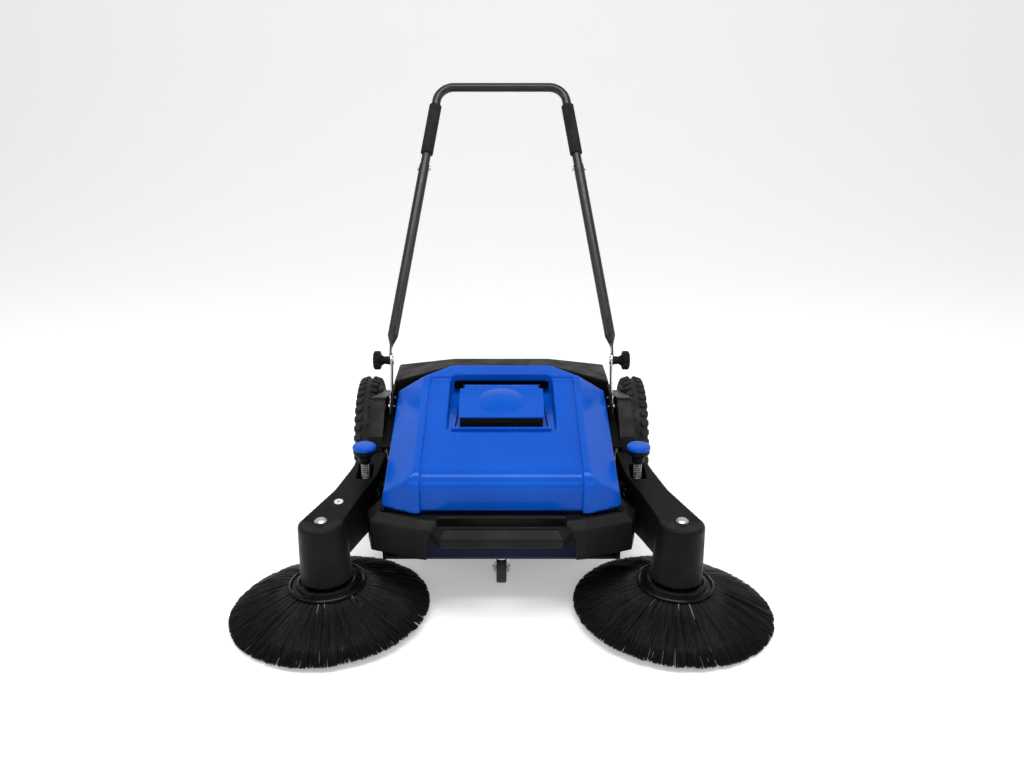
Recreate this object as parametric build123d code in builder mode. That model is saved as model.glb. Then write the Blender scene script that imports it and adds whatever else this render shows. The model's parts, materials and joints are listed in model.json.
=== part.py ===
"""Walk-behind floor sweeper with two side brooms, a roller brush and a lift-out dust bin.

Millimetres, +Z up; the machine sweeps towards -Y. Left and right are those of the person pushing it,
so left is +X. Inside this script Y counts from the line through the two broom spindles. write() then
sets every piece down in the row frame, whose origin is on the floor in the middle of the machine.
"""

import os
from math import acos, atan2, cos, degrees, hypot, pi, radians, sin, sqrt, tan

from build123d import *

os.makedirs("parts", exist_ok=True)

# ---- driving sizes ------------------------------------------------------------------------------
gap = 0.3                 # clearance beside a moving piece
running = 0.05            # radial clearance of a shaft in its bore
wall = 4                  # moulded wall

# half widths, each a step out from the dust bin cover
cover_x = 248             # the bin cover at the seam
tray_x = cover_x - 14
frame_x = cover_x - 8     # inner face of the side frames
lever_x = frame_x + 9.5   # inner face of the arms' levers
bracket_x = frame_x + 16
cover_in_x = frame_x + 26 # side covers
cover_out_x = cover_in_x + 34
wheel_x = cover_out_x + 4 # inner face of the tyre
knob_x = cover_x + 45     # height adjusters
broom_x = knob_x + 58     # broom spindles, at the floor

# side brooms
broom_r = 205             # bristle tips
broom_lean = 2.2          # degrees, so that the outer edge bites first
plate_r = 78              # bristle plate
plate_h = 57              # its underside above the tips
spindle_r = 7
head_r = 53               # mouth of the broom head
head_top_r = 46
head_h = 198              # top of the broom head above the tips
head_mouth_h = 76

# wheels and their axles
wheel_r = 158
tyre_w = 52
rim_r = 112
axle_y = 551
axle_r = 10

# roller brush and its gears
gear_teeth = 60
pinion_teeth = 18
module = 2.5
backlash = 0.5            # taken off every tooth
roller_shaft_r = 8
roller_core_r = 38
roller_half = frame_x - 12
bristle_rows = 6
bristle_row_w = 14
roller_clear = 1          # bristle tips above the floor
roller_drop = 38          # roller axis below the wheel axles
guard_clear = 9           # between the bristles and the guard over them
guard_t = 3

# side frames
frame_t = 8
frame_front = 60
frame_rear = 640
sill_z = 60               # underside behind the bin
tray_z = 96               # underside of the dust bin
beam_t = 6

# dust bin
bin_front = 35
bin_rear = 430
rim_z = 205               # seam between the frames and the bin cover, at the front
rim_slope = 0.25          # its rise towards the rear
deck_z = 285              # top of the bin cover at the front
deck_slope = 0.275
draft = 8                 # the cover is this much narrower at its shoulders
side_h = 45               # height of the cover's sides
deck_flat_x = 178         # half width of the flat top
deck_fall = 46            # drop from the flat top to the shoulders
rear_flat_x = 113         # half width of the straight rear edge
front_corner_x = 178      # where the angled front corners begin
front_corner_y = 60       # where they meet the sides
corner_r = 16             # rounding of the upright corners
rear_corner_y = 400
bend_r = 44               # rounding between the front face and the top
cover_wall = 3
panel_x = 165             # half width of the sunk middle panel
panel_rear = 385
panel_sink = 8
pocket_x = 118            # latch pocket
pocket_front = 193
pocket_rear = 395
pocket_sink = 4
pocket_slope = 0.08
grip_t = 20               # thickness of the grip bar behind the pocket
tray_front = bin_front + panel_sink + cover_wall + 2
tray_clear = 17           # between the tray and the roller's bristles
flap_x = 93
flap_front = 222
flap_rear = 335
flap_t = 4
flap_rise = 4             # underside of the flap above the top of the cover
hinge_r = 3.5

# bumper
bumper_low = 118
bumper_mid_low = 166
bumper_lip = 184
bumper_crown = 16         # height of the sloping top above the lip
bumper_crown_in = 19      # its run inwards
bumper_edge = [
    (cover_x + 14, 150),
    (cover_x + 33, 95),
    (cover_x + 21, 45),
    (172, 6),
    (142, 0),
    (122, -36),
]

# side covers and rear cover
cover_edge = [(262, 246), (276, 274), (351, 341), (592, 273), (668, 240)]
cover_low = 80
rear_front = 436
rear_top = 390

# arms
arm_line = [
    (broom_x + 7, 0, 40),
    (broom_x - 31, 100, 30),
    (knob_x + 3, 175, 31),
    (knob_x - 12, 254, 27),
]
arm_top = 206             # height of the arm at the spindle
arm_slope = 0.165
arm_low = 120
lever_t = 5
lever_r = 22

# height adjusters
knob_y = 177
knob_r = 25
pocket_z = 212            # floor of the spring pocket in the arm
spring_h = 43
spring_r = 8
wire_r = 1
rod_r = 4
tongue_w = 18
tongue_t = 10
arm_lift = 3              # degrees

# handle
pivot_y = 430
pivot_z = 405
handle_len = 722          # pivot to the middle of the top bar
handle_lean = 34          # degrees back from upright
handle_foot = (bracket_x + 1, 60)   # where the round tube begins: half spacing, distance from the pivot
handle_narrow = 0.1484    # how fast the tubes come together
handle_bend = 45
tube_r = 11
lower_tube_r = 12.5
tube_wall = 1.5
joint_u = 505             # end of the lower tubes
insert = 40
grip_r = 15.5
grip_span = (535, 670)
bracket_t = 3
bolt_r = 4

# caster
caster_y = 95
caster_r = 32
caster_trail = 25
caster_w = 22

# ---- places worked out from them ------------------------------------------------------------------
lean = radians(broom_lean)
spindle_foot = (broom_x, 0, broom_r * sin(lean))
spindle_dir = (sin(lean), 0, cos(lean))
spindle_axis = Axis(spindle_foot, spindle_dir)
spindle_plane = Plane(origin=spindle_foot, x_dir=(cos(lean), 0, -sin(lean)), z_dir=(0, -1, 0))

gear_r = gear_teeth * module / 2
pinion_r = pinion_teeth * module / 2
roller_z = wheel_r - roller_drop
roller_y = axle_y - sqrt((gear_r + pinion_r) ** 2 - roller_drop**2)
roller_r = roller_z - roller_clear
tray_rear = roller_y - roller_r - tray_clear

frame_out = frame_x + frame_t
gear_x = lever_x + lever_t + 2.5
gear_w = 14
pulley_x = gear_x + gear_w
pulley_w = 17
belt_r = 3
drive_belt_r = 48         # belt line on the drive pulley
broom_belt_r = 22         # belt line on the broom pulley
groove = 0.6              # the belt stands clear of the bottom of its groove by this
broom_belt_h = 142        # belt line above the bristle tips
axle_end = wheel_x + tyre_w - 6

beam_z = tray_z - 2 - beam_t
tongue_z = pocket_z - wall - gap - tongue_t
lean_back = radians(handle_lean)
handle_y = pivot_y + handle_len * sin(lean_back)
handle_z = pivot_z + handle_len * cos(lean_back)
length = broom_r + handle_y + tube_r
spindle_line = broom_r - length / 2
print("row frame: Y of the broom spindles", round(spindle_line, 3), "length", round(length, 1))


def rim(y):
    """Height of the seam between the frames and the bin cover."""
    return rim_z + rim_slope * (y - bin_front)


def deck(y):
    """Height of the top of the bin cover."""
    return deck_z + deck_slope * (y - bin_front)


def pocket_floor(y):
    """Height of the floor of the latch pocket."""
    return deck(pocket_front) - panel_sink - pocket_sink + pocket_slope * (y - pocket_front)


# ---- helpers ------------------------------------------------------------------------------------
def write(part, name):
    placed = part.moved(Location((0, spindle_line, 0)))
    placed.label = name
    export_step(placed, f"parts/{name}.step")


def write_pair(part, name):
    write(part, f"left_{name}")
    write(part.mirror(Plane.YZ), f"right_{name}")


def both_sides(points):
    """A half outline on the +X side, closed by its mirror image."""
    return list(points) + [(-x, y) for x, y in reversed(points)]


def outline(plane, points, inset=0, rounding=0):
    """A filled outline on a plane, drawn in by inset, with its corners rounded."""
    with BuildSketch(plane) as sketch:
        with BuildLine():
            Polyline(*points, close=True)
        make_face()
        if inset:
            offset(amount=-inset, kind=Kind.INTERSECTION)
        if rounding:
            fillet(sketch.vertices(), radius=rounding)
    return sketch.sketch


def side_view(x):
    """The plane across X; its own x runs along Y and its own y along Z."""
    return Plane(origin=(x, 0, 0), x_dir=(0, 1, 0), z_dir=(1, 0, 0))


def slab(points, x_from, x_to, mode=Mode.ADD, inset=0):
    """A side-view outline made solid between two values of X."""
    extrude(outline(side_view(x_from), points, inset), amount=x_to - x_from, mode=mode)


def block(x, y, z, mode=Mode.ADD):
    """A box from three (low, high) pairs."""
    corners = [(x[0], y[0]), (x[1], y[0]), (x[1], y[1]), (x[0], y[1])]
    extrude(outline(Plane.XY.offset(z[0]), corners), amount=z[1] - z[0], mode=mode)


def rod(start, end, radius, mode=Mode.ADD, bore=0):
    """A round bar between two points."""
    along = Vector(*end) - Vector(*start)
    with BuildSketch(Plane(origin=start, z_dir=along)) as end_face:
        Circle(radius)
        if bore:
            Circle(bore, mode=Mode.SUBTRACT)
    extrude(end_face.sketch, amount=along.length, mode=mode)


def cross_rod(y, z, x_from, x_to, radius, mode=Mode.ADD, bore=0):
    rod((x_from, y, z), (x_to, y, z), radius, mode, bore)


def turned(points, mode=Mode.ADD):
    """Revolves a (radius, height) outline about the broom spindle."""
    revolve(outline(spindle_plane, points), axis=spindle_axis, mode=mode)


def about_x(y, z, points, mode=Mode.ADD):
    """Revolves an (x, radius) outline about the line along X through (y, z)."""
    section = outline(Plane(origin=(0, y, z), x_dir=(1, 0, 0), z_dir=(0, -1, 0)), points)
    revolve(section, axis=Axis((0, y, z), (1, 0, 0)), mode=mode)


def about_z(x, y, points, mode=Mode.ADD):
    """Revolves a (radius, z) outline about the upright line through (x, y)."""
    section = outline(Plane(origin=(x, y, 0), x_dir=(1, 0, 0), z_dir=(0, -1, 0)), points)
    revolve(section, axis=Axis((x, y, 0), (0, 0, 1)), mode=mode)


def tooth_points(teeth, first):
    """Spur gear outline, its first tooth centred on the angle first (radians)."""
    pitch_r = teeth * module / 2
    base_r = pitch_r * cos(radians(20))
    root_r, tip_r = pitch_r - 1.25 * module, pitch_r + module
    low_r = max(root_r, base_r)
    half = pi / (2 * teeth) - backlash / (2 * pitch_r) + tan(radians(20)) - radians(20)
    flank = []
    for step in range(4):
        r = low_r + (tip_r - low_r) * step / 3
        pressure = acos(min(1, base_r / r))
        flank.append((r, half - tan(pressure) + pressure))
    points = []
    for tooth in range(teeth):
        middle = first + 2 * pi * tooth / teeth
        foot = flank[0][1]
        points.append((root_r, middle - foot))
        if low_r > root_r:
            points += [(r, middle - a) for r, a in flank]
        else:
            points += [(r, middle - a) for r, a in flank[1:]]
        points += [(r, middle + a) for r, a in reversed(flank[1:])]
        if low_r > root_r:
            points.append((flank[0][0], middle + foot))
        points.append((root_r, middle + foot))
    return [(r * cos(a), r * sin(a)) for r, a in points]


def spur_gear(teeth, y, z, first):
    """A toothed disc on the gear train's plane."""
    centre = Plane(origin=(gear_x, y, z), x_dir=(0, 1, 0), z_dir=(1, 0, 0))
    extrude(outline(centre, tooth_points(teeth, first)), amount=gear_w)


# ---- dust bin cover -----------------------------------------------------------------------------
cover_plan = [
    (front_corner_x, bin_front),
    (cover_x, front_corner_y),
    (cover_x, rear_corner_y),
    (rear_flat_x, bin_rear),
]


def cover_form(inset):
    """The cover as a closed form, drawn in by inset; an inner form runs out through the seam."""
    low = 30 if inset else 0
    slope = Vector(0, -1, -deck_slope)
    top = deck(bin_rear)
    with BuildPart() as form:
        side = [
            (bin_front, rim(bin_front) - low),
            (bin_front, deck(bin_front)),
            (bin_rear, deck(bin_rear)),
            (bin_rear, rim(bin_rear) - low),
        ]
        slab(side, -cover_x, cover_x, inset=inset)
        bend = form.edges().filter_by(Axis.X).group_by(Axis.Y)[0].sort_by(Axis.Z)[-1]
        fillet(bend, radius=bend_r - inset)
        plan = outline(Plane.XY, both_sides(cover_plan), inset, corner_r - inset)
        extrude(plan, amount=600, mode=Mode.INTERSECT)
        across = [
            (deck_flat_x, top),
            (cover_x - draft, top - deck_fall),
            (cover_x, top - deck_fall - side_h),
            (cover_x, -200),
        ]
        view = Plane(origin=(0, bin_rear, 0), x_dir=(1, 0, 0), z_dir=(0, -1, 0))
        section = outline(view, both_sides(across), inset)
        extrude(section, amount=700, dir=slope, mode=Mode.INTERSECT)
        for s in (1, -1):
            # the top falls away to the rear corners
            rear = Vector(s * rear_flat_x, bin_rear, top)
            crest = Vector(s * deck_flat_x, panel_rear, deck(panel_rear))
            side_z = deck(rear_corner_y) - deck_fall
            side = Vector(s * (cover_x - draft), rear_corner_y, side_z)
            normal = (crest - rear).cross(side - rear).normalized()
            normal = normal if normal.Z > 0 else -normal
            facet = Plane(origin=rear - normal * inset, z_dir=normal)
            split(bisect_by=facet, keep=Keep.BOTTOM)
    return form.part


def panel_form(inset):
    """What the sunk middle panel takes off the cover form."""
    sink, rear = panel_sink + inset, panel_rear + inset
    with BuildPart() as form:
        side = [
            (bin_front - 60, 100),
            (bin_front - 60, 600),
            (rear, 600),
            (rear, deck(rear) - sink),
            (bin_front + sink, deck(bin_front + sink) - sink),
            (bin_front + sink, 100),
        ]
        slab(side, -panel_x - inset, panel_x + inset)
        bend = form.edges().filter_by(Axis.X).sort_by_distance((0, bin_front, deck_z))[0]
        fillet(bend, radius=bend_r - sink)
    return form.part


outer_form = cover_form(0)
inner_form = cover_form(cover_wall)
outer_panel = panel_form(0)
inner_panel = panel_form(cover_wall)

with BuildPart() as hollow:
    add(inner_form)
    add(inner_panel, mode=Mode.SUBTRACT)

with BuildPart() as pocket_tub:
    tub = [
        (pocket_front - cover_wall, pocket_floor(pocket_front) - cover_wall),
        (pocket_front - cover_wall, deck(bin_rear) + 20),
        (bin_rear, deck(bin_rear) + 20),
        (bin_rear, pocket_floor(bin_rear) - cover_wall),
    ]
    slab(tub, -pocket_x - cover_wall, pocket_x + cover_wall)
    add(outer_form, mode=Mode.INTERSECT)
    add(outer_panel, mode=Mode.SUBTRACT)

with BuildPart() as pocket_room:
    room = [
        (pocket_front, pocket_floor(pocket_front)),
        (pocket_front, 600),
        (pocket_rear, 600),
        (pocket_rear, pocket_floor(pocket_rear)),
    ]
    slab(room, -pocket_x, pocket_x)
    fillet(pocket_room.edges().filter_by(Axis.Z), radius=20)

with BuildPart() as bin_cover:
    add(outer_form)
    add(outer_panel, mode=Mode.SUBTRACT)
    add(hollow.part, mode=Mode.SUBTRACT)
    add(pocket_tub.part)
    add(pocket_room.part, mode=Mode.SUBTRACT)
    hand_room = [
        (pocket_rear - 6, pocket_floor(pocket_rear - 6)),
        (pocket_rear - 6, deck(pocket_rear - 6) - grip_t),
        (bin_rear + 5, deck(bin_rear + 5) - grip_t),
        (bin_rear + 5, pocket_floor(bin_rear + 5)),
    ]
    slab(hand_room, -pocket_x + 8, pocket_x - 8, mode=Mode.SUBTRACT)
write(bin_cover.part, "bin_cover")

# ---- dust tray, latch and flap ------------------------------------------------------------------
inlet = (130, 232)        # heights of the tray's rear opening
box_wall = 3
with BuildPart() as seam_flange:
    add(hollow.part)
    flange = [
        (bin_front, rim(bin_front)),
        (bin_front, rim(bin_front) + cover_wall),
        (tray_rear + 8, rim(tray_rear + 8) + cover_wall),
        (tray_rear + 8, rim(tray_rear + 8)),
    ]
    slab(flange, -cover_x, cover_x, mode=Mode.INTERSECT)

tray_plan = [
    (front_corner_x - 4, tray_front),
    (tray_x, front_corner_y + 2),
    (tray_x, tray_rear),
]
with BuildPart() as tray_room:
    room = [
        (tray_front, tray_z + cover_wall),
        (tray_front, 400),
        (tray_rear, 400),
        (tray_rear, tray_z + cover_wall),
    ]
    slab(room, -tray_x, tray_x)
    inner_plan = outline(Plane.XY, both_sides(tray_plan), cover_wall)
    extrude(inner_plan, amount=600, mode=Mode.INTERSECT)

with BuildPart() as bin_tray:
    body = [
        (tray_front, tray_z),
        (tray_front, rim(tray_front) + cover_wall),
        (tray_rear, rim(tray_rear) + cover_wall),
        (tray_rear, tray_z),
    ]
    slab(body, -tray_x, tray_x)
    bottom_edges = bin_tray.edges().filter_by(Axis.X).group_by(Axis.Z)[0]
    fillet(bottom_edges, radius=4)
    extrude(outline(Plane.XY, both_sides(tray_plan)), amount=600, mode=Mode.INTERSECT)
    add(seam_flange.part)
    add(tray_room.part, mode=Mode.SUBTRACT)
    block((12 - tray_x, tray_x - 12), (tray_rear - 10, tray_rear + 1), inlet, mode=Mode.SUBTRACT)
write(bin_tray.part, "bin_tray")

hinge_y = flap_rear
hinge_z = deck(flap_rear) + flap_rise + flap_t / 2
barrel_x = flap_x - 10
box_top = flap_rise - gap
with BuildPart() as latch_box:
    body = [
        (flap_front + 2, pocket_floor(flap_front + 2)),
        (flap_front + 2, deck(flap_front + 2) + box_top),
        (flap_rear - 4, deck(flap_rear - 4) + box_top),
        (flap_rear - 4, pocket_floor(flap_rear - 4)),
    ]
    slab(body, 3 - flap_x, flap_x - 3)
    room = [
        (flap_front + 2 + box_wall, pocket_floor(flap_front) + box_wall),
        (flap_front + 2 + box_wall, 600),
        (flap_rear - 4 - box_wall, 600),
        (flap_rear - 4 - box_wall, pocket_floor(flap_rear) + box_wall),
    ]
    slab(room, 3 - flap_x + box_wall, flap_x - 3 - box_wall, mode=Mode.SUBTRACT)
    for s in (1, -1):
        # cheeks that carry the hinge pins
        cheek = [
            (flap_rear - 10, pocket_floor(flap_rear - 10)),
            (flap_rear - 10, hinge_z - 4),
            (hinge_y - hinge_r, hinge_z + hinge_r),
            (hinge_y + hinge_r, hinge_z + hinge_r),
            (hinge_y + hinge_r, pocket_floor(hinge_y + hinge_r)),
        ]
        inner = s * (barrel_x + gap)
        slab(cheek, inner, inner + s * 3)
        cross_rod(hinge_y, hinge_z, inner, s * (barrel_x - 10), 2)
    # finger tongue in front and the catch behind
    tongue_y = flap_front + 2
    block((-10, 10), (tongue_y - 6, tongue_y), (deck(tongue_y) - 6, deck(tongue_y) - 3))
    catch_z = pocket_floor(flap_rear + 8)
    block((-11, 11), (flap_rear - 4, flap_rear + 6), (catch_z, deck(flap_rear) - 8))
    rod((0, flap_rear + 6, catch_z + 12), (0, flap_rear + 8, catch_z + 12), 6)
write(latch_box.part, "latch_box")

flap_top = (deck(flap_front) + flap_rise + flap_t, hinge_z + flap_t / 2)
flap_tilt = atan2(flap_top[1] - flap_top[0], hinge_y - flap_front)
swell_r = 50              # domed grip in the flap
swell_h = 9
ball_r = (swell_r**2 + swell_h**2) / (2 * swell_h)
swell_y = flap_front + 56
swell_z = flap_top[0] + tan(flap_tilt) * (swell_y - flap_front)
sunk = ball_r - swell_h
with BuildPart() as flap_swell:
    with Locations((0, swell_y + sunk * sin(flap_tilt), swell_z - sunk * cos(flap_tilt))):
        Sphere(ball_r)
    above = [
        (flap_front + 4, flap_top[0] - 2),
        (flap_front + 4, 500),
        (hinge_y - 4, 500),
        (hinge_y - 4, flap_top[1] - 2),
    ]
    slab(above, -flap_x, flap_x, mode=Mode.INTERSECT)

with BuildPart() as latch_flap:
    plate = [
        (flap_front, flap_top[0] - flap_t),
        (flap_front, flap_top[0]),
        (hinge_y, flap_top[1]),
        (hinge_y, flap_top[1] - flap_t),
    ]
    slab(plate, -flap_x, flap_x)
    front_line = latch_flap.edges().filter_by(Axis.X).group_by(Axis.Y)[0].sort_by(Axis.Z)[-1]
    fillet(front_line, radius=2.5)
    add(flap_swell.part)
    for s in (1, -1):
        # room for the cheeks beside the hinge barrel
        ends = sorted((s * barrel_x, s * (flap_x + 1)))
        block(ends, (flap_rear - 11, hinge_y + 5), (300, 420), mode=Mode.SUBTRACT)
    cross_rod(hinge_y, hinge_z, -barrel_x, barrel_x, hinge_r)
    for s in (1, -1):
        start, end = s * (barrel_x - 10.5), s * (barrel_x + 1)
        cross_rod(hinge_y, hinge_z, start, end, 2 + running, mode=Mode.SUBTRACT)
write(latch_flap.part, "latch_flap")

# ---- side frames --------------------------------------------------------------------------------
bolts = [(374, 310), (400, 322)]
with BuildPart() as side_frame:
    side = [
        (frame_front, beam_z),
        (330, beam_z),
        (342, sill_z),
        (frame_rear, sill_z),
        (frame_rear, rim(bin_rear) - 2),
        (bin_rear + 6, rim(bin_rear) - 2),
        (bin_rear + 2, rim(bin_rear) - gap),
        (frame_front, rim(frame_front) - gap),
    ]
    slab(side, frame_x, frame_out)
    # lip under the side cover
    lip_rear = bin_rear + 6
    lip = [
        (cover_edge[0][0], rim(cover_edge[0][0]) - 9),
        (cover_edge[0][0], rim(cover_edge[0][0]) - 5),
        (lip_rear, rim(lip_rear) - 5),
        (frame_rear, rim(lip_rear) - 5),
        (frame_rear, rim(lip_rear) - 9),
        (lip_rear, rim(lip_rear) - 9),
    ]
    slab(lip, frame_out - 1, cover_in_x + wall)
    # upstand that carries the handle bracket
    upstand = [(352, 268), (352, 318), (368, 345), (434, 345), (434, 285)]
    slab(upstand, frame_out + 2, bracket_x)
    root = [(352, 268), (352, rim(352) - 5), (434, rim(434) - 5), (434, 285)]
    slab(root, frame_x, bracket_x)
    # tongue that carries the height adjuster
    tongue_y = (knob_y - tongue_w / 2, knob_y + tongue_w / 2)
    block((frame_out - 1, knob_x), tongue_y, (tongue_z, tongue_z + tongue_t))
    rod((knob_x, knob_y, tongue_z), (knob_x, knob_y, tongue_z + tongue_t), tongue_w / 2)
    rod((knob_x, knob_y, tongue_z - 1), (knob_x, knob_y, tongue_z + 30), rod_r, Mode.SUBTRACT)
    cross_rod(axle_y, wheel_r, frame_x - 1, frame_out + 1, axle_r, Mode.SUBTRACT)
    cross_rod(roller_y, roller_z, frame_x - 1, frame_out + 1, 2 * roller_shaft_r, Mode.SUBTRACT)
    for y, z in bolts:
        cross_rod(y, z, frame_out + 2, bracket_x + 1, 3, Mode.SUBTRACT)
write_pair(side_frame.part, "side_frame")

with BuildPart() as front_beam:
    block((-frame_x, frame_x), (frame_front, 130), (beam_z, beam_z + beam_t))
write(front_beam.part, "front_beam")

with BuildPart() as stub_axles:
    for s in (1, -1):
        cross_rod(axle_y, wheel_r, s * (frame_x - 6), s * frame_x, 22)
        cross_rod(axle_y, wheel_r, s * frame_x, s * axle_end, axle_r)
write(stub_axles.part, "stub_axles")

with BuildPart() as roller_bearings:
    for s in (1, -1):
        bore = roller_shaft_r + running
        cross_rod(roller_y, roller_z, s * frame_x, s * frame_out, 2 * roller_shaft_r, bore=bore)
write(roller_bearings.part, "roller_bearings")

with BuildPart() as roller_guard:
    low, high = roller_r + guard_clear, roller_r + guard_clear + guard_t
    about_x(roller_y, roller_z, [(-frame_x, low), (frame_x, low), (frame_x, high), (-frame_x, high)])
    keep = [(0, 0), (400, -60), (400, 400), (-400, 400), (-330, 330)]
    centred = [(roller_y + y, roller_z + z) for y, z in keep]
    slab(centred, -frame_x, frame_x, mode=Mode.INTERSECT)
write(roller_guard.part, "roller_guard")

# ---- side covers --------------------------------------------------------------------------------
cover_outline = cover_edge + [(cover_edge[-1][0], cover_low), (cover_edge[0][0], cover_low)]
with BuildPart() as side_cover:
    slab(cover_outline, cover_in_x, cover_out_x)
    fillet(side_cover.edges().filter_by(Axis.X).group_by(Axis.Z)[-1], radius=20)
    ridge = side_cover.faces().sort_by(Axis.X)[-1].outer_wire().edges()
    fillet(ridge.filter_by(lambda e: e.center().Z > 246), radius=3)
    room = [(y, z) for y, z in cover_outline]
    slab(room, cover_in_x + wall, cover_out_x - wall, mode=Mode.SUBTRACT, inset=wall)
    # open underneath and towards the arm
    inside = (cover_in_x + wall, cover_out_x - wall)
    block(inside, (cover_edge[0][0] + wall, cover_edge[-1][0] - wall), (70, 100), Mode.SUBTRACT)
    block(inside, (cover_edge[0][0] - 1, cover_edge[0][0] + 10), (70, 240), Mode.SUBTRACT)
    below_lip = [
        (cover_edge[0][0] - 1, 0),
        (cover_edge[0][0] - 1, rim(cover_edge[0][0] - 1) - 5),
        (lip_rear, rim(lip_rear) - 5),
        (frame_rear, rim(lip_rear) - 5),
        (frame_rear + 60, 200),
        (frame_rear + 60, 0),
    ]
    slab(below_lip, cover_in_x - 1, cover_in_x + wall, mode=Mode.SUBTRACT)
    cross_rod(axle_y, wheel_r, cover_out_x - 10, cover_out_x + 1, 24, Mode.SUBTRACT)
write_pair(side_cover.part, "side_cover")

# ---- rear cover and skirt -----------------------------------------------------------------------
rear_edge = 350           # height of the rear cover's shoulders
rear_side_x = cover_x + 7
rear_low = rim(bin_rear) - 2


def rear_form(inset):
    """The hump behind the dust bin as a closed form, drawn in by inset."""
    low = 20 if inset else 0
    with BuildPart() as form:
        side = [
            (rear_front, rear_low - low),
            (rear_front, rear_top),
            (490, rear_top),
            (frame_rear + wall, rear_low + 8),
            (frame_rear + wall, rear_low - low),
        ]
        slab(side, -rear_side_x, rear_side_x, inset=inset)
        across = [(rear_flat_x + 2, rear_top), (rear_side_x, rear_edge), (rear_side_x, 0)]
        view = Plane(origin=(0, 0, 0), x_dir=(1, 0, 0), z_dir=(0, -1, 0))
        section = outline(view, both_sides(across), inset)
        extrude(section, amount=-900, mode=Mode.INTERSECT)
    return form.part


with BuildPart() as rear_cover:
    add(rear_form(0))
    top_lines = rear_cover.edges().filter_by(Axis.Y).group_by(Axis.Z)[-1]
    fillet(top_lines, radius=8)
    add(rear_form(wall), mode=Mode.SUBTRACT)
    block((-frame_x, frame_x), (frame_rear - wall, frame_rear), (110, rear_low + 6))
write(rear_cover.part, "rear_cover")

with BuildPart() as rear_skirt:
    block((4 - frame_x, frame_x - 4), (frame_rear - wall - 3, frame_rear - wall), (8, 130))
write(rear_skirt.part, "rear_skirt")


# ---- bumper -------------------------------------------------------------------------------------
def bumper_form(inset):
    """The bumper as a closed form with a sloping crown, drawn in by inset."""
    points = both_sides(bumper_edge)
    lip = bumper_lip - inset / 2
    low = bumper_low - (10 if inset else 0)
    with BuildPart() as form:
        extrude(outline(Plane.XY.offset(low), points, inset), amount=lip - low)
        crown_low = outline(Plane.XY.offset(lip), points, inset)
        top = bumper_lip + bumper_crown - inset
        crown_high = outline(Plane.XY.offset(top), points, bumper_crown_in + inset)
        loft([crown_low.face(), crown_high.face()], ruled=True)
    return form.part


grip_edge = [(130, 32), (130, 4), (108, -18)]  # recess behind the nose of the bumper
slot_x = 80
slot_y = (-14, 10)
grip_z = 176
with BuildPart() as grip_tub:
    add(bumper_form(0))
    block((-134, 134), (-60, 60), (grip_z - wall, 260), Mode.INTERSECT)

with BuildPart() as front_bumper:
    add(bumper_form(0))
    add(bumper_form(wall), mode=Mode.SUBTRACT)
    add(grip_tub.part)
    recess = outline(Plane.XY.offset(grip_z), both_sides(grip_edge))
    extrude(recess, amount=90, mode=Mode.SUBTRACT)
    block((-slot_x, slot_x), slot_y, (grip_z - 10, grip_z + 5), Mode.SUBTRACT)
    # the middle stands higher off the floor than the wings
    block((-150, 150), (-60, 60), (bumper_low - 5, bumper_mid_low), Mode.SUBTRACT)
    # well for the frames and the dust bin
    clear = 2
    well = tray_plan[:2] + [(tray_x, 200)]
    extrude(outline(Plane.XY, both_sides(well), -clear), amount=300, mode=Mode.SUBTRACT)
    for s in (1, -1):
        ends = sorted((s * tray_x, s * frame_out))
        block(ends, (frame_front, 200), (bumper_low - 5, 260), Mode.SUBTRACT)
write(front_bumper.part, "front_bumper")

# ---- wheels -------------------------------------------------------------------------------------
tyre_out = wheel_x + tyre_w
with BuildPart() as tyre:
    half_w = tyre_w / 2
    middle = wheel_x + half_w
    section = [
        (half_w - 5, rim_r),
        (half_w, rim_r + 12),
        (half_w, wheel_r - 14),
        (half_w - 6, wheel_r - 3),
        (half_w - 14, wheel_r),
        (4, wheel_r),
        (4, wheel_r - 4),
    ]
    across = [(middle + x, r) for x, r in section] + [(middle - x, r) for x, r in reversed(section)]
    about_x(axle_y, wheel_r, across)
write_pair(tyre.part, "tyre")

hub_r = 26
with BuildPart() as wheel_rim:
    barrel = [
        (wheel_x + 2, rim_r - 8),
        (wheel_x + 2, rim_r + 4),
        (wheel_x + 5, rim_r),
        (tyre_out - 5, rim_r),
        (tyre_out - 2, rim_r + 4),
        (tyre_out - 2, rim_r - 8),
    ]
    about_x(axle_y, wheel_r, barrel)
    cross_rod(axle_y, wheel_r, middle - 4, middle + 4, rim_r - 6)
    cross_rod(axle_y, wheel_r, wheel_x - 2, tyre_out - 5, hub_r)
    for step in range(6):
        a = step * pi / 3
        y, z = axle_y + 68 * cos(a), wheel_r + 68 * sin(a)
        cross_rod(y, z, middle - 6, middle + 6, 22, Mode.SUBTRACT)
    cross_rod(axle_y, wheel_r, wheel_x - 3, tyre_out, axle_r + running, Mode.SUBTRACT)
write_pair(wheel_rim.part, "rim")

with BuildPart() as hub_cap:
    cross_rod(axle_y, wheel_r, tyre_out - 5, tyre_out + 1, hub_r)
    cap_edge = hub_cap.edges().group_by(Axis.X)[-1]
    fillet(cap_edge, radius=3)
    cross_rod(axle_y, wheel_r, tyre_out - 6, tyre_out - 2, axle_r + 4, Mode.SUBTRACT)
write_pair(hub_cap.part, "hub_cap")

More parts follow.
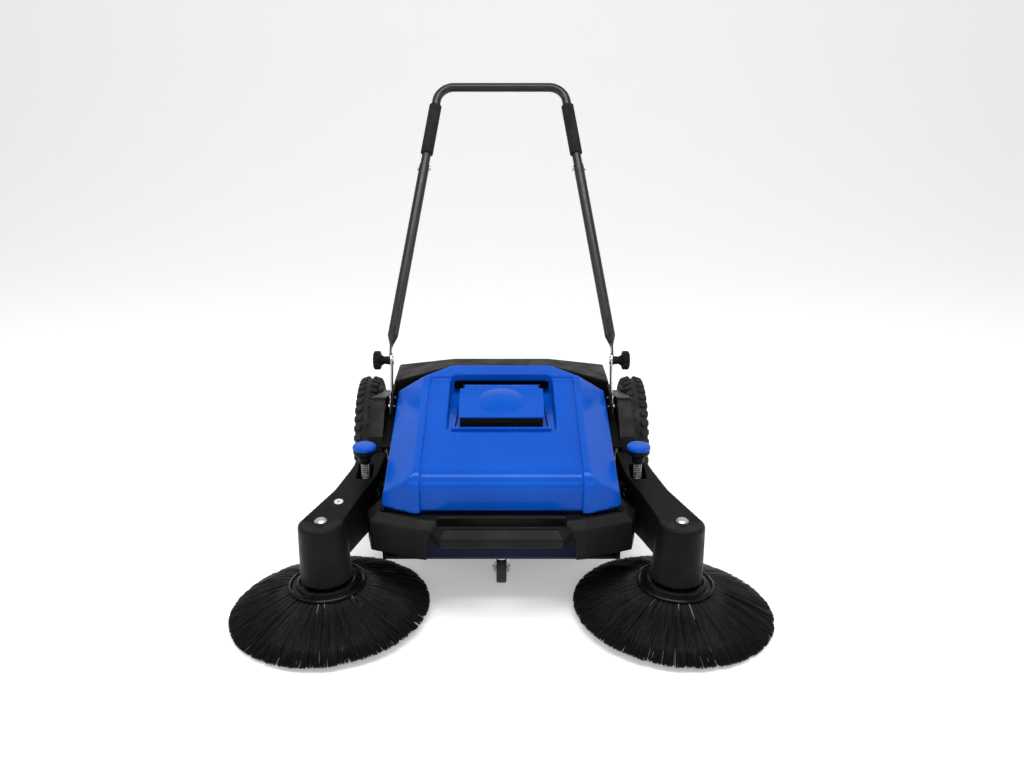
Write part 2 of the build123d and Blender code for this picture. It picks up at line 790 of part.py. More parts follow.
pulley_mid = pulley_x + pulley_w / 2
drive_groove = drive_belt_r - belt_r - groove
pulley_section = [
    (pulley_x, axle_r),
    (pulley_x, drive_belt_r + 3),
    (pulley_mid - 7, drive_belt_r + 3),
    (pulley_mid - 4, drive_groove),
    (pulley_mid + 4, drive_groove),
    (pulley_mid + 7, drive_belt_r + 3),
    (pulley_x + pulley_w, drive_belt_r + 3),
    (pulley_x + pulley_w, 16),
    (wheel_x - 2, 16),
    (wheel_x - 2, axle_r),
]
mesh_angle = atan2(roller_z - wheel_r, roller_y - axle_y)
with BuildPart() as drive_gear:
    about_x(axle_y, wheel_r, pulley_section)
    spur_gear(gear_teeth, axle_y, wheel_r, mesh_angle)
    cross_rod(axle_y, wheel_r, gear_x - 1, wheel_x, axle_r + running, Mode.SUBTRACT)
write(drive_gear.part, "left_drive_gear")

with BuildPart() as drive_pulley:
    about_x(axle_y, wheel_r, pulley_section)
    cross_rod(axle_y, wheel_r, gear_x, pulley_x, 22)
    cross_rod(axle_y, wheel_r, gear_x - 1, wheel_x, axle_r + running, Mode.SUBTRACT)
write(drive_pulley.part.mirror(Plane.YZ), "right_drive_pulley")

# ---- roller brush -------------------------------------------------------------------------------
with BuildPart() as roller_shaft:
    cross_rod(roller_y, roller_z, -frame_out - 2, gear_x + gear_w + 2, roller_shaft_r)
write(roller_shaft.part, "roller_shaft")

with BuildPart() as roller_core:
    bore = roller_core_r - 5
    cross_rod(roller_y, roller_z, -roller_half, roller_half, roller_core_r, bore=bore)
    for x in (-roller_half, roller_half - 5):
        cross_rod(roller_y, roller_z, x, x + 5, roller_core_r + 8, bore=roller_shaft_r)
write(roller_core.part, "roller_core")

with BuildPart() as roller_bristles:
    # six rows of bristles, each a plain strip
    centre = Plane(origin=(5 - roller_half, roller_y, roller_z), x_dir=(0, 1, 0), z_dir=(1, 0, 0))
    with BuildSketch(centre) as rows:
        with PolarLocations(0, bristle_rows):
            with Locations(((roller_core_r - 2 + roller_r) / 2, 0)):
                Rectangle(roller_r - roller_core_r + 2, bristle_row_w)
        Circle(roller_core_r, mode=Mode.SUBTRACT)
        Circle(roller_r, mode=Mode.INTERSECT)
    extrude(rows.sketch, amount=2 * roller_half - 10)
write(roller_bristles.part, "roller_bristles")

with BuildPart() as roller_pinion:
    spur_gear(pinion_teeth, roller_y, roller_z, mesh_angle + pi + pi / pinion_teeth)
    ends = (gear_x - 1, gear_x + gear_w + 1)
    cross_rod(roller_y, roller_z, *ends, roller_shaft_r, Mode.SUBTRACT)
write(roller_pinion.part, "roller_pinion")

# ---- side brooms --------------------------------------------------------------------------------
with BuildPart() as broom_plate:
    turned(
        [
            (spindle_r, plate_h),
            (plate_r - 4, plate_h),
            (plate_r, plate_h + 3),
            (plate_r, plate_h + 7),
            (plate_r - 3, plate_h + 9),
            (plate_r - 8, plate_h + 6),
            (64, plate_h + 6),
            (62, plate_h + 12),
            (57, plate_h + 14),
            (52, plate_h + 11),
            (40, plate_h + 11),
            (38, plate_h + 18),
            (16, plate_h + 18),
            (14, plate_h + 30),
            (spindle_r, plate_h + 30),
        ]
    )
write_pair(broom_plate.part, "broom_plate")

with BuildPart() as broom_bristles:
    turned([(56, 57), (73, 57), (broom_r, 4), (broom_r, 0), (188, 0), (56, 48)])
write_pair(broom_bristles.part, "broom_bristles")

pulley_low = broom_belt_h - 8
boss_low = broom_belt_h + 16
with BuildPart() as broom_spindle:
    turned([(0, plate_h - 4), (spindle_r, plate_h - 4), (spindle_r, head_h - 6), (0, head_h - 6)])
write_pair(broom_spindle.part, "broom_spindle")

broom_groove = broom_belt_r - belt_r - groove
with BuildPart() as broom_pulley:
    turned(
        [
            (spindle_r, pulley_low - 6),
            (12, pulley_low - 6),
            (12, pulley_low),
            (broom_belt_r + 4, pulley_low),
            (broom_belt_r + 4, pulley_low + 1.5),
            (broom_groove, broom_belt_h - 4),
            (broom_groove, broom_belt_h + 4),
            (broom_belt_r + 4, pulley_low + 14.5),
            (broom_belt_r + 4, pulley_low + 16),
            (12, pulley_low + 16),
            (12, boss_low - gap),
            (spindle_r, boss_low - gap),
        ]
    )
write_pair(broom_pulley.part, "broom_pulley")

# ---- arms ---------------------------------------------------------------------------------------
def arm_outline(inset):
    """Plan of the arm's beam, a strip of varying width along its centreline."""
    outer, inner = [], []
    last = len(arm_line) - 1
    for i, (x, y, half) in enumerate(arm_line):
        before, after = arm_line[max(i - 1, 0)], arm_line[min(i + 1, last)]
        run_x, run_y = after[0] - before[0], after[1] - before[1]
        if i == last:
            run_x, y = 0, y - inset
        size = hypot(run_x, run_y)
        side_x, side_y = run_y / size * (half - inset), -run_x / size * (half - inset)
        outer.append((x + side_x, y + side_y))
        inner.append((x - side_x, y - side_y))
    return outer + inner[::-1]


def arm_form(inset):
    """Beam and head of the arm as a closed form, drawn in by inset; the inner form is open below."""
    low = arm_low - (5 if inset else 0)
    mouth = head_mouth_h - (5 if inset else 0)
    with BuildPart() as form:
        beam = outline(Plane.XY.offset(low), arm_outline(inset))
        extrude(beam, amount=200)
        uprights = form.edges().filter_by(Axis.Z).sort_by(Axis.Y)[2:6]
        fillet(uprights, radius=24)
        head = [
            (0, mouth),
            (head_r - inset, mouth),
            (head_top_r + 0.4 - inset, head_h - 5),
            (head_top_r - 1.5 - inset, head_h - 1.5 - inset / 2),
            (head_top_r - 5 - inset, head_h - inset),
            (0, head_h - inset),
        ]
        top_y = (-80, arm_line[-1][1] + 10)
        top_z = [arm_top + arm_slope * y - inset for y in top_y]
        above = [(top_y[0], 400), (top_y[0], top_z[0]), (top_y[1], top_z[1]), (top_y[1], 400)]
        slab(above, 200, 420, mode=Mode.SUBTRACT)
        turned(head)
    return form.part


spring_room = (16, 28)    # half width of the spring pocket, its reach behind and in front
with BuildPart() as spring_tub:
    add(arm_form(0))
    block(
        (knob_x - spring_room[0] - wall, knob_x + spring_room[0] + wall),
        (knob_y - spring_room[1] - wall, knob_y + spring_room[1] + wall),
        (pocket_z - wall, 300),
        mode=Mode.INTERSECT,
    )

post_y = 228
post_r = 6
tangent_x = knob_x - 7           # belt line where it bends round the post
lever_line = [
    (216, 222),
    (axle_y - 21, wheel_r + 24),
    (axle_y, wheel_r + lever_r),
    (axle_y, wheel_r - lever_r),
    (216, 150),
]
with BuildPart() as arm:
    add(arm_form(0))
    add(arm_form(wall), mode=Mode.SUBTRACT)
    add(spring_tub.part)
    block(
        (knob_x - spring_room[0], knob_x + spring_room[0]),
        (knob_y - spring_room[1], knob_y + spring_room[1]),
        (pocket_z, 300),
        mode=Mode.SUBTRACT,
    )
    # boss for the spindle
    turned([(0, boss_low), (16, boss_low), (16, head_h - 3), (0, head_h - 3)])
    bore = spindle_r + running
    turned([(0, boss_low - 1), (bore, boss_low - 1), (bore, head_h - 5), (0, head_h - 5)], Mode.SUBTRACT)
    # seat of the spindle bolt
    turned([(0, head_h), (13 + gap, head_h), (13 + gap, head_h + 20), (0, head_h + 20)], Mode.SUBTRACT)
    # post that guides the belt through the bend of the arm
    post_x = tangent_x + belt_r + 1 + post_r
    ceiling = arm_top + arm_slope * post_y - wall
    rod((post_x, post_y, arm_low + 8), (post_x, post_y, ceiling + 1), post_r)
    # way out for the belt at the rear
    end_y = arm_line[-1][1]
    block((tangent_x - 12, tangent_x + 10), (end_y - 8, end_y + 2), (100, 186), Mode.SUBTRACT)
    # lever back to the wheel axle, and its root in the beam
    slab(lever_line, lever_x, lever_x + lever_t)
    root = [(218, 150), (218, 221), (250, 217), (250, 150)]
    slab(root, lever_x, lever_x + 8.5)
    cross_rod(axle_y, wheel_r, lever_x, lever_x + lever_t, lever_r)
    cross_rod(axle_y, wheel_r, lever_x - 1, lever_x + lever_t + 1, axle_r + running, Mode.SUBTRACT)
    # ways for the fixed tongue and its upright rod
    reach = (axle_y - knob_y) * radians(arm_lift)
    back = (pocket_z - wheel_r) * radians(arm_lift)
    half = tongue_w / 2 + gap
    way = (knob_y - half - back - 1, knob_y + half + 1)
    block((frame_x, knob_x - 10), way, (tongue_z - reach - 1, pocket_z - wall), mode=Mode.SUBTRACT)
    slot_y = (knob_y - rod_r - back - 1, knob_y + rod_r + 1)
    slot_x = (knob_x - rod_r - 1, knob_x + rod_r + 1)
    block(slot_x, slot_y, (pocket_z - wall - 1, pocket_z + 1), mode=Mode.SUBTRACT)
write_pair(arm.part, "arm")

with BuildPart() as arm_bolt:
    turned([(0, head_h), (13, head_h), (13, head_h + 4), (9, head_h + 7), (0, head_h + 7)])
write_pair(arm_bolt.part, "arm_bolt")


# ---- belts --------------------------------------------------------------------------------------
def touch(centre, radius, point, side):
    """Angle at which a line from a point touches a circle, on the chosen side."""
    dx, dy = point[0] - centre[0], point[1] - centre[1]
    return atan2(dy, dx) + side * acos(radius / hypot(dx, dy))


def belt_arc(centre, axis, start, angle):
    """Part of a belt that lies on a pulley."""
    radial = Vector(*start) - Vector(*centre)
    with BuildSketch(Plane(origin=start, z_dir=Vector(*axis).cross(radial))) as end_face:
        Circle(belt_r)
    revolve(end_face.sketch, axis=Axis(centre, axis), revolution_arc=angle)


belt_z = broom_belt_h + broom_r * sin(lean)
broom_mid = (broom_x + broom_belt_h * sin(lean), 0)
axle_mid = (axle_y, wheel_r)
guide_z = {1: 174, -1: 134}
with BuildPart() as drive_belt:
    drive_angle, broom_angle, ends = {}, {}, {}
    for s in (1, -1):
        drive_angle[s] = touch(axle_mid, drive_belt_r, (post_y, guide_z[s]), -s)
        broom_angle[s] = touch(broom_mid, broom_belt_r, (tangent_x, post_y), -s)
    for s in (1, -1):
        a, b = drive_angle[s], broom_angle[s]
        at_wheel = (pulley_mid, axle_y + drive_belt_r * cos(a), wheel_r + drive_belt_r * sin(a))
        at_post = (tangent_x, post_y, guide_z[s])
        out_x, out_y = broom_belt_r * cos(b), broom_belt_r * sin(b)
        at_broom = (broom_mid[0] + out_x, out_y, belt_z - out_x * tan(lean))
        rod(at_wheel, at_post, belt_r)
        rod(at_post, at_broom, belt_r)
        for place in (at_wheel, at_post, at_broom):
            with Locations(place):
                Sphere(belt_r + 0.4)
        ends[s] = (at_wheel, at_broom)
    round_wheel = degrees((drive_angle[1] - drive_angle[-1]) % (2 * pi))
    belt_arc((pulley_mid, *axle_mid), (-1, 0, 0), ends[1][0], round_wheel)
    round_broom = degrees((broom_angle[1] - broom_angle[-1]) % (2 * pi))
    middle = (broom_mid[0], 0, belt_z)
    belt_arc(middle, spindle_dir, ends[1][1], -round_broom)
write_pair(drive_belt.part, "drive_belt")


# ---- height adjusters ---------------------------------------------------------------------------
spring_low = pocket_z + gap
spring_top = spring_low + spring_h
knob_foot = spring_top + gap
cap_z = knob_foot + 33
with BuildPart() as adjuster_rods:
    for s in (1, -1):
        rod((s * knob_x, knob_y, tongue_z), (s * knob_x, knob_y, cap_z - 4), rod_r)
write(adjuster_rods.part, "adjuster_rods")

with BuildPart() as adjuster_spring:
    turns = 8
    pitch = (spring_h - 2 * wire_r) / turns
    coil = Helix(pitch=pitch, height=pitch * turns, radius=spring_r)
    placed = coil.moved(Location((knob_x, knob_y, spring_low + wire_r)))
    with BuildSketch(Plane(origin=placed @ 0, z_dir=placed % 0)) as wire:
        Circle(wire_r)
    sweep(wire.sketch, path=placed, is_frenet=True)
write_pair(adjuster_spring.part, "adjuster_spring")

with BuildPart() as adjuster_knob:
    body = [
        (rod_r + running, knob_foot),
        (11, knob_foot),
        (13, knob_foot + 4),
        (13, knob_foot + 14),
        (knob_r - 4, knob_foot + 20),
        (knob_r - 1, knob_foot + 24),
        (knob_r - 1, cap_z),
        (0, cap_z),
        (0, cap_z - 3),
        (rod_r + running, cap_z - 3),
    ]
    about_z(knob_x, knob_y, body)
write_pair(adjuster_knob.part, "adjuster_knob")

with BuildPart() as knob_cap:
    dome = [(0, 0), (knob_r, 0), (knob_r, 5), (knob_r - 1.5, 7.5), (knob_r - 5, 9), (0, 10)]
    about_z(knob_x, knob_y, [(r, cap_z + z) for r, z in dome])
write_pair(knob_cap.part, "knob_cap")

# ---- handle -------------------------------------------------------------------------------------
foot_x, foot_u = handle_foot
flat_x = bracket_x + bracket_t + gap
flat_w = 24
screw_r = 3
handle_up = (0, sin(lean_back), cos(lean_back))


def on_handle(x, u):
    """A point on the handle's plane, u up the handle from its pivots."""
    return (x, pivot_y + u * sin(lean_back), pivot_z + u * cos(lean_back))


def tube_x(u):
    """Half spacing of the tubes at a distance up the handle."""
    return foot_x - handle_narrow * (u - foot_u)


def joint_hole(s):
    """Cuts the hole for the screw that pins an upper tube in a lower one."""
    x, y, z = on_handle(tube_x(joint_u - 10), joint_u - 10)
    cross_rod(y, z, s * (x - 20), s * (x + 20), screw_r, Mode.SUBTRACT)


with BuildPart() as lower_tubes:
    for s in (1, -1):
        flat_points = [(0, -flat_w / 2), (30, -flat_w / 2), (30, flat_w / 2), (0, flat_w / 2)]
        along = Plane(origin=(s * flat_x, pivot_y, pivot_z), x_dir=handle_up, z_dir=(s, 0, 0))
        extrude(outline(along, flat_points), amount=3)
        cross_rod(pivot_y, pivot_z, s * flat_x, s * (flat_x + 3), flat_w / 2)
        at_flat = Plane(origin=on_handle(s * (flat_x + 1.5), 29), x_dir=(1, 0, 0), z_dir=handle_up)
        with BuildSketch(at_flat) as flat_end:
            Rectangle(3, flat_w)
        start = Vector(*on_handle(s * foot_x, foot_u))
        finish = Vector(*on_handle(s * tube_x(joint_u), joint_u))
        with BuildSketch(Plane(origin=start, x_dir=(1, 0, 0), z_dir=finish - start)) as tube_end:
            Circle(lower_tube_r)
        loft([flat_end.sketch.face(), tube_end.sketch.face()])
        rod(tuple(start), tuple(finish), lower_tube_r)
        low = Vector(*on_handle(s * tube_x(foot_u + 4), foot_u + 4))
        rod(tuple(low), tuple(finish), tube_r, Mode.SUBTRACT)
        ends = (s * (flat_x - 1), s * (flat_x + 4))
        cross_rod(pivot_y, pivot_z, *ends, bolt_r + running, Mode.SUBTRACT)
        joint_hole(s)
write(lower_tubes.part, "lower_tubes")

with BuildPart() as upper_handle:
    low_u = joint_u - insert
    corner = tube_x(handle_len)
    path_points = [
        on_handle(tube_x(low_u), low_u),
        on_handle(corner, handle_len),
        on_handle(-corner, handle_len),
        on_handle(-tube_x(low_u), low_u),
    ]
    with BuildLine():
        path = FilletPolyline(*path_points, radius=handle_bend)
    with BuildSketch(Plane(origin=path @ 0, x_dir=(1, 0, 0), z_dir=path % 0)) as ring:
        Circle(tube_r)
        Circle(tube_r - tube_wall, mode=Mode.SUBTRACT)
    sweep(ring.sketch, path=path)
    for s in (1, -1):
        joint_hole(s)
write(upper_handle.part, "upper_handle")

with BuildPart() as hand_grips:
    for s in (1, -1):
        low, high = (on_handle(s * tube_x(u), u) for u in grip_span)
        rod(low, high, grip_r, bore=tube_r)
        ends = hand_grips.edges().filter_by(GeomType.CIRCLE).group_by(SortBy.RADIUS)[-1]
    fillet(ends, radius=2)
write(hand_grips.part, "hand_grips")

with BuildPart() as handle_screws:
    for s in (1, -1):
        x, y, z = on_handle(tube_x(joint_u - 10), joint_u - 10)
        reach = lower_tube_r + 1
        cross_rod(y, z, s * (x - reach), s * (x + reach), screw_r)
        cross_rod(y, z, s * (x - reach), s * (x - reach - 3), 5.5)
        cross_rod(y, z, s * (x + reach), s * (x + reach + 3), 5.5)
write(handle_screws.part, "handle_screws")

with BuildPart() as handle_brackets:
    for s in (1, -1):
        strip = [(366, 296), (384, 296), (414, 318), (444, 396), (444, 414), (438, 420), (422, 420)]
        strip += [(416, 414), (386, 334), (366, 322)]
        ends = sorted((s * bracket_x, s * (bracket_x + bracket_t)))
        slab(strip, *ends)
        ends = (s * (bracket_x - 1), s * (bracket_x + bracket_t + 1))
        cross_rod(pivot_y, pivot_z, *ends, bolt_r, Mode.SUBTRACT)
        for y, z in bolts:
            cross_rod(y, z, *ends, 3, Mode.SUBTRACT)
write(handle_brackets.part, "handle_brackets")

disc_x = 283
disc_w = 17
with BuildPart() as handle_knob:
    hub_x = flat_x + 3 + gap
    knob_shape = [
        (hub_x, bolt_r + running),
        (hub_x, 10),
        (disc_x - 8, 9),
        (disc_x, 14),
        (disc_x, 19),
        (disc_x + 2, 22),
        (disc_x + disc_w - 3, 22),
        (disc_x + disc_w, 18),
        (disc_x + disc_w, 0),
        (disc_x - 2, 0),
        (disc_x - 2, bolt_r + running),
    ]
    about_x(pivot_y, pivot_z, knob_shape)
    for step in range(8):
        a = step * pi / 4
        y, z = pivot_y + 24 * cos(a), pivot_z + 24 * sin(a)
        cross_rod(y, z, disc_x - 1, disc_x + disc_w + 1, 4, Mode.SUBTRACT)
write_pair(handle_knob.part, "handle_knob")

with BuildPart() as frame_screws:
    for s in (1, -1):
        # carriage bolts of the handle
        cross_rod(pivot_y, pivot_z, s * (bracket_x - 3), s * bracket_x, 9)
        cross_rod(pivot_y, pivot_z, s * bracket_x, s * (disc_x - 3), bolt_r)
        for y, z in bolts:
            cross_rod(y, z, s * frame_out, s * (bracket_x + bracket_t), 3)
            cross_rod(y, z, s * (bracket_x + bracket_t), s * (bracket_x + bracket_t + 3.5), 6)
write(frame_screws.part, "frame_screws")

# ---- caster -------------------------------------------------------------------------------------
plate_low = beam_z - 4
fork_top = plate_low - gap
fork_in = caster_w / 2 + 1.5
wheel_y = caster_y + caster_trail
with BuildPart() as caster_plate:
    block((-30, 30), (caster_y - 25, caster_y + 25), (plate_low, beam_z))
    rod((0, caster_y, plate_low - 1), (0, caster_y, beam_z + 1), 5 + running, Mode.SUBTRACT)
write(caster_plate.part, "caster_plate")

with BuildPart() as caster_fork:
    rod((0, caster_y, fork_top - 7), (0, caster_y, fork_top), 19)
    rod((0, caster_y, fork_top - 1), (0, caster_y, beam_z - gap), 5)
    legs = [
        (caster_y - 14, fork_top - 7),
        (caster_y + 16, fork_top - 7),
        (wheel_y + 9, caster_r + 2),
        (wheel_y + 6, caster_r - 8),
        (wheel_y - 6, caster_r - 8),
        (wheel_y - 12, caster_r + 4),
        (caster_y - 14, fork_top - 14),
    ]
    for s in (1, -1):
        ends = sorted((s * fork_in, s * (fork_in + 3)))
        slab(legs, *ends)
    cross_rod(wheel_y, caster_r, -fork_in - 4, fork_in + 4, 4, Mode.SUBTRACT)
write(caster_fork.part, "caster_fork")

with BuildPart() as caster_axle:
    cross_rod(wheel_y, caster_r, -fork_in - 3, fork_in + 3, 4)
    for s in (1, -1):
        cross_rod(wheel_y, caster_r, s * (fork_in + 3), s * (fork_in + 6), 6.5)
write(caster_axle.part, "caster_axle")

with BuildPart() as caster_wheel:
    cross_rod(wheel_y, caster_r, -caster_w / 2, caster_w / 2, caster_r, bore=4 + running)
    tread = caster_wheel.edges().filter_by(GeomType.CIRCLE).group_by(SortBy.RADIUS)[-1]
    fillet(tread, radius=4)
write(caster_wheel.part, "caster_wheel")
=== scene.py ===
# %% [markdown]
# # A walk-behind floor sweeper
# The machine comes in as a fixed frame of sixty exact parts. What is left to make is what a maker would call
# the surface: moulded plastic with its grain, glossy blue shells, zinc, foam, rubber, and above all thousands
# of bristles. Everything is in metres, in the frame's own axes, so a new piece goes where its part
# already is.

# %% Load the frame
import json
import math
import random

import bpy
import numpy as np
from mathutils import Matrix, Vector

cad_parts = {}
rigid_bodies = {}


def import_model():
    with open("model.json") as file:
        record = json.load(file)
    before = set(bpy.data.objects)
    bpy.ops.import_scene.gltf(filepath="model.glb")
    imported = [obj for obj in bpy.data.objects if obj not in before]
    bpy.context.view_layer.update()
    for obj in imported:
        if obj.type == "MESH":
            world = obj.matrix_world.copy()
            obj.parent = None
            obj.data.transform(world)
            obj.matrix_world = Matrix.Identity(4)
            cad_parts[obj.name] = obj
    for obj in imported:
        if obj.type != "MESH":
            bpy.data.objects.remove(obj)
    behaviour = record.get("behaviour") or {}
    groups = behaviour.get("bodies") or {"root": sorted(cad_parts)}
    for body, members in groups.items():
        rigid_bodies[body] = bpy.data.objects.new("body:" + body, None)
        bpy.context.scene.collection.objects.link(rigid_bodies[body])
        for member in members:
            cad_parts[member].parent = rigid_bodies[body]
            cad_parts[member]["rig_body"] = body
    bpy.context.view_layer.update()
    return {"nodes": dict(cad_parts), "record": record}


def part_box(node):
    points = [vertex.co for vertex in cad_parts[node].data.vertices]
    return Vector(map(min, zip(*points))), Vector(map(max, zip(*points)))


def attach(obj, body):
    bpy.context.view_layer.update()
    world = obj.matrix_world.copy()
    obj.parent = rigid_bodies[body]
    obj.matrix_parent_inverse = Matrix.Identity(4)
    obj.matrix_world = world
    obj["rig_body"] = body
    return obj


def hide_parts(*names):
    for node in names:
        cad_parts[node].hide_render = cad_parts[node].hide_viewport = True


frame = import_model()
nodes = frame["nodes"]

# %% [markdown]
# ## Working habits
# Operators act on whatever is selected, and the frame arrives selected. So each step starts from nothing
# selected, with one active object. These few helpers keep that in one place.

# %% Selection and mode helpers
def pick(piece):
    """Make this piece the only selected one, and the active one."""
    bpy.ops.object.select_all(action="DESELECT")
    piece.select_set(True)
    bpy.context.view_layer.objects.active = piece


def new_piece(name):
    """Name the primitive that was just added."""
    piece = bpy.context.object
    piece.name = piece.data.name = name
    return piece


def settle(piece):
    """Write the piece's place into its mesh, so that the object sits at the origin."""
    pick(piece)
    bpy.ops.object.transform_apply(location=True, rotation=True, scale=True)
    return piece


def smooth(piece, angle=35):
    pick(piece)
    bpy.ops.object.shade_smooth_by_angle(angle=math.radians(angle))


def dress(piece, material):
    piece.data.materials.clear()
    piece.data.materials.append(material)


# %% [markdown]
# ## Finishes
# Moulded plastic is never one flat colour: the mould's grain breaks up its gloss, handling polishes it in
# patches, and its edges rub lighter. One recipe holds those effects, and each finish sets its own amounts.
# A Bevel node rounds the shading of hard edges and, compared with the true normal, says where an edge is.

# %% Small node helpers
def add_node(tree, kind, **settings):
    made = tree.nodes.new(kind)
    for key, value in settings.items():
        if key in made.inputs:
            made.inputs[key].default_value = value
        else:
            setattr(made, key, value)
    return made


def blank_material(name):
    material = bpy.data.materials.new(name)
    material.use_nodes = True
    return material, material.node_tree, material.node_tree.nodes["Principled BSDF"]


def spread(tree, value, low, high, out_low, out_high):
    """Map a value from one range to another, held at the ends."""
    ranged = add_node(tree, "ShaderNodeMapRange")
    for place, number in enumerate((low, high, out_low, out_high), 1):
        ranged.inputs[place].default_value = number
    tree.links.new(value, ranged.inputs[0])
    return ranged.outputs[0]


def blend_colours(tree, factor, first, second):
    """Mix two colours, each a colour or another node's output."""
    mix = add_node(tree, "ShaderNodeMix", data_type="RGBA")
    tree.links.new(factor, mix.inputs[0])
    for socket, colour in ((mix.inputs[6], first), (mix.inputs[7], second)):
        if isinstance(colour, tuple):
            socket.default_value = (*colour, 1)
        else:
            tree.links.new(colour, socket)
    return mix.outputs[2]


# %% The shared finish
def surface(
    name, dark, light, rough, grain, depth,
    edge=0.0012, worn=None, wear=0.0, patch=9, **shader_values,
):
    """A material with patchy colour, uneven gloss, a fine grain, rounded edges and rubbed ones."""
    material, tree, shader = blank_material(name)
    place = add_node(tree, "ShaderNodeTexCoord").outputs["Object"]

    def noise(scale, detail):
        texture = add_node(tree, "ShaderNodeTexNoise", Scale=scale, Detail=detail)
        tree.links.new(place, texture.inputs["Vector"])
        return texture.outputs[0]

    cloud = noise(patch, 5)
    colour = blend_colours(tree, spread(tree, cloud, 0.35, 0.65, 0, 1), dark, light)
    rounded = add_node(tree, "ShaderNodeBevel", samples=4, Radius=edge)
    if worn:
        true_normal = add_node(tree, "ShaderNodeNewGeometry").outputs["Normal"]
        facing = add_node(tree, "ShaderNodeVectorMath", operation="DOT_PRODUCT")
        tree.links.new(rounded.outputs[0], facing.inputs[0])
        tree.links.new(true_normal, facing.inputs[1])
        at_edge = spread(tree, facing.outputs["Value"], 0.99, 0.85, 0, wear)
        broken = add_node(tree, "ShaderNodeMath", operation="MULTIPLY")
        tree.links.new(at_edge, broken.inputs[0])
        tree.links.new(spread(tree, noise(60, 4), 0.4, 0.62, 0.1, 1), broken.inputs[1])
        colour = blend_colours(tree, broken.outputs[0], colour, worn)
    tree.links.new(colour, shader.inputs["Base Color"])
    tree.links.new(spread(tree, noise(patch * 3, 6), 0.35, 0.65, *rough), shader.inputs["Roughness"])
    bump = add_node(tree, "ShaderNodeBump", Strength=1.0, Distance=depth)
    tree.links.new(noise(grain, 2), bump.inputs["Height"])
    tree.links.new(rounded.outputs[0], bump.inputs["Normal"])
    tree.links.new(bump.outputs[0], shader.inputs["Normal"])
    for key, value in shader_values.items():
        shader.inputs[key.replace("_", " ")].default_value = value
    return material


# %% [markdown]
# The structural shells are black polypropylene with a fine grain, a little dusty on the bumper. The brushes'
# heads are the same plastic, shinier. The blue shells are high gloss, so their grain is almost nothing and a
# clear coat gives the crisp reflections. The tray is the same blue plastic, darkened to navy as painted shade
# for its place under the bumper.

# %% Plastics
black_plastic = surface(
    "black_plastic", (0.0024, 0.0024, 0.0024), (0.0055, 0.0055, 0.0052), (0.36, 0.54), 1100, 0.00006,
    worn=(0.04, 0.04, 0.038), wear=0.5, Specular_IOR_Level=0.12,
)
bumper_plastic = surface(
    "bumper_plastic", (0.004, 0.004, 0.0036), (0.010, 0.010, 0.0092), (0.38, 0.56), 1000, 0.00007,
    edge=0.002, worn=(0.11, 0.11, 0.105), wear=0.6, patch=6, Specular_IOR_Level=0.14,
)
head_plastic = surface(
    "head_plastic", (0.0022, 0.0022, 0.0022), (0.0042, 0.0042, 0.0042), (0.20, 0.34), 1300, 0.00003,
    edge=0.002, worn=(0.04, 0.04, 0.04), wear=0.4, Specular_IOR_Level=0.14,
)
blue_plastic = surface(
    "blue_plastic", (0.001, 0.072, 0.46), (0.0015, 0.088, 0.53), (0.20, 0.30), 500, 0.00002,
    edge=0.0015, worn=(0.03, 0.19, 0.76), wear=0.35, patch=5,
    Specular_IOR_Level=0.07, Coat_Weight=0.14, Coat_Roughness=0.06,
)
# Painted shade: the tray is the blue moulding darkened to navy, standing in for the shadow it sits in under
# the bumper.
tray_plastic = surface(
    "tray_plastic", (0.001, 0.002, 0.018), (0.0015, 0.004, 0.032), (0.3, 0.45), 600, 0.00004,
    worn=(0.01, 0.02, 0.08), wear=0.3, Specular_IOR_Level=0.12,
)
gear_plastic = surface(
    "gear_plastic", (0.045, 0.045, 0.044), (0.07, 0.07, 0.067), (0.4, 0.55), 900, 0.00004, edge=0.0005,
)

# %% [markdown]
# Zinc-plated steel has a cool, slightly cloudy shine. The handle is powder coated: black, faintly pebbled,
# and rubbed through to grey where it is held and folded. Rubber and foam are the dullest blacks; the tyres
# carry pale floor dust.

# %% Metals, rubber and foam
zinc = surface(
    "zinc", (0.42, 0.43, 0.44), (0.58, 0.58, 0.57), (0.22, 0.42), 700, 0.00002,
    edge=0.0004, patch=40, Metallic=1.0,
)
powder_coat = surface(
    "powder_coat", (0.0055, 0.0055, 0.0058), (0.010, 0.010, 0.010), (0.24, 0.40), 650, 0.00005,
    edge=0.0005, worn=(0.16, 0.16, 0.16), wear=0.6, patch=14, Specular_IOR_Level=0.4,
)
tyre_rubber = surface(
    "tyre_rubber", (0.0085, 0.0085, 0.0082), (0.023, 0.022, 0.020), (0.6, 0.8), 420, 0.00012,
    edge=0.001, worn=(0.07, 0.067, 0.062), wear=0.6, patch=12, Specular_IOR_Level=0.3,
)
plain_rubber = surface(
    "plain_rubber", (0.009, 0.009, 0.009), (0.018, 0.018, 0.017), (0.5, 0.7), 600, 0.00006, edge=0.0008,
)
grip_foam = surface(
    "grip_foam", (0.006, 0.006, 0.006), (0.012, 0.012, 0.012), (0.75, 0.95), 260, 0.0004,
    edge=0.0008, patch=25, Specular_IOR_Level=0.25,
)

# %% Dress every part of the frame
finish_of_slot = {
    "black_plastic": black_plastic,
    "bumper_plastic": bumper_plastic,
    "blue_plastic": blue_plastic,
    "tray_plastic": tray_plastic,
    "gear_plastic": gear_plastic,
    "steel": zinc,
    "steel_black": powder_coat,
    "tyre": tyre_rubber,
    "rubber": plain_rubber,
    "foam": grip_foam,
    "bristle": plain_rubber,
}
for part in frame["record"]["subparts"]:
    dress(nodes[part["node"]], finish_of_slot[part["material_slot"]])
for side in ("left", "right"):
    dress(nodes[f"{side}_broom_plate"], head_plastic)

